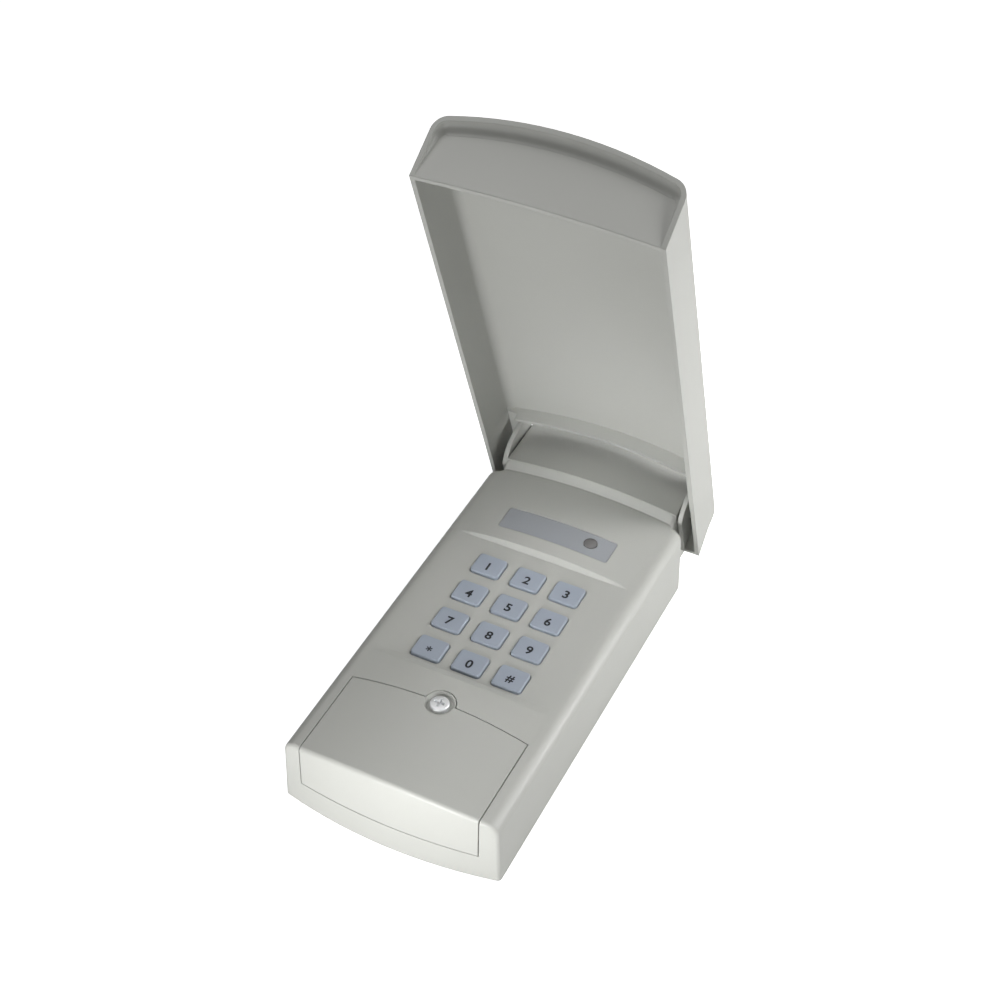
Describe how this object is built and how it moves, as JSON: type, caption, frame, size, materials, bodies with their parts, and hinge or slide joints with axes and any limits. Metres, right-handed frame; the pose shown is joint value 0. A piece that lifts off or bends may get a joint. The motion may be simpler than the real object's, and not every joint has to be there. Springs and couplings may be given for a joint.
{
  "type": "wireless entry keypad",
  "caption": "Wireless entry keypad in a crowned plastic case with rubber keys, a battery door and a hinged weather lid that stands open.",
  "frame": {"origin": "centre of the back face, midway between the near-end corners and the back wall of the hinge block", "axes": "+Z out of the keys, away from the wall; +Y along the case towards the lid's hinge, up when it hangs; +X to the right of somebody facing the keys"},
  "size_m": [0.0702, 0.1598, 0.1669],
  "materials": {
    "case_plastic": "fine satin texture",
    "plated_steel": "zinc plated",
    "label_film": "satin",
    "smoked_lens": "gloss, translucent",
    "red_led": "gloss, translucent",
    "key_rubber": "matte",
    "carbon_pad": "matte",
    "board_laminate": "solder mask",
    "black_moulding": "matte",
    "ceramic": "gloss",
    "capacitor_sleeve": "gloss",
    "red_insulation": "satin",
    "black_insulation": "satin",
    "tinned_copper": "tinned",
    "battery_jacket": "satin printed jacket",
    "foam": "open cell"
  },
  "bodies": {
    "case": {"front_case": "case_plastic", "rear_cover": "case_plastic", "case_screws": "plated_steel", "battery_door": "case_plastic", "door_screw": "plated_steel", "label_plate": "label_film", "indicator_lens": "smoked_lens", "indicator_led": "red_led", "keypad_mat": "key_rubber", "key_contacts": "carbon_pad", "circuit_board": "board_laminate", "board_screws": "plated_steel", "controller_chip": "black_moulding", "memory_chip": "black_moulding", "clock_resonator": "ceramic", "saw_resonator": "plated_steel", "smoothing_capacitor": "capacitor_sleeve", "chip_resistors": "black_moulding", "red_lead": "red_insulation", "black_lead": "black_insulation", "antenna_loop": "tinned_copper", "battery": "battery_jacket", "battery_terminals": "plated_steel", "battery_snap": "black_insulation", "battery_pad": "foam"},
    "lid": {"weather_lid": "case_plastic"},
    "button_1": {"key_1": "key_rubber"},
    "button_2": {"key_2": "key_rubber"},
    "button_3": {"key_3": "key_rubber"},
    "button_4": {"key_4": "key_rubber"},
    "button_5": {"key_5": "key_rubber"},
    "button_6": {"key_6": "key_rubber"},
    "button_7": {"key_7": "key_rubber"},
    "button_8": {"key_8": "key_rubber"},
    "button_9": {"key_9": "key_rubber"},
    "button_star": {"key_star": "key_rubber"},
    "button_0": {"key_0": "key_rubber"},
    "button_hash": {"key_hash": "key_rubber"}
  },
  "joints": [
    {"name": "lid_hinge", "type": "hinge", "parent": "case", "child": "lid", "pos_m": [0, 0.0598, 0.0193], "axis": [-1, 0, 0], "range_deg": [-70.7, 30]},
    {"name": "press_1", "type": "slide", "parent": "case", "child": "button_1", "axis": [0, 0, -1], "range_m": [0, 0.0009], "stiffness_N_per_m": 1200},
    {"name": "press_2", "type": "slide", "parent": "case", "child": "button_2", "axis": [0, 0, -1], "range_m": [0, 0.0009], "stiffness_N_per_m": 1200},
    {"name": "press_3", "type": "slide", "parent": "case", "child": "button_3", "axis": [0, 0, -1], "range_m": [0, 0.0009], "stiffness_N_per_m": 1200},
    {"name": "press_4", "type": "slide", "parent": "case", "child": "button_4", "axis": [0, 0, -1], "range_m": [0, 0.0009], "stiffness_N_per_m": 1200},
    {"name": "press_5", "type": "slide", "parent": "case", "child": "button_5", "axis": [0, 0, -1], "range_m": [0, 0.0009], "stiffness_N_per_m": 1200},
    {"name": "press_6", "type": "slide", "parent": "case", "child": "button_6", "axis": [0, 0, -1], "range_m": [0, 0.0009], "stiffness_N_per_m": 1200},
    {"name": "press_7", "type": "slide", "parent": "case", "child": "button_7", "axis": [0, 0, -1], "range_m": [0, 0.0009], "stiffness_N_per_m": 1200},
    {"name": "press_8", "type": "slide", "parent": "case", "child": "button_8", "axis": [0, 0, -1], "range_m": [0, 0.0009], "stiffness_N_per_m": 1200},
    {"name": "press_9", "type": "slide", "parent": "case", "child": "button_9", "axis": [0, 0, -1], "range_m": [0, 0.0009], "stiffness_N_per_m": 1200},
    {"name": "press_star", "type": "slide", "parent": "case", "child": "button_star", "axis": [0, 0, -1], "range_m": [0, 0.0009], "stiffness_N_per_m": 1200},
    {"name": "press_0", "type": "slide", "parent": "case", "child": "button_0", "axis": [0, 0, -1], "range_m": [0, 0.0009], "stiffness_N_per_m": 1200},
    {"name": "press_hash", "type": "slide", "parent": "case", "child": "button_hash", "axis": [0, 0, -1], "range_m": [0, 0.0009], "stiffness_N_per_m": 1200}
  ]
}
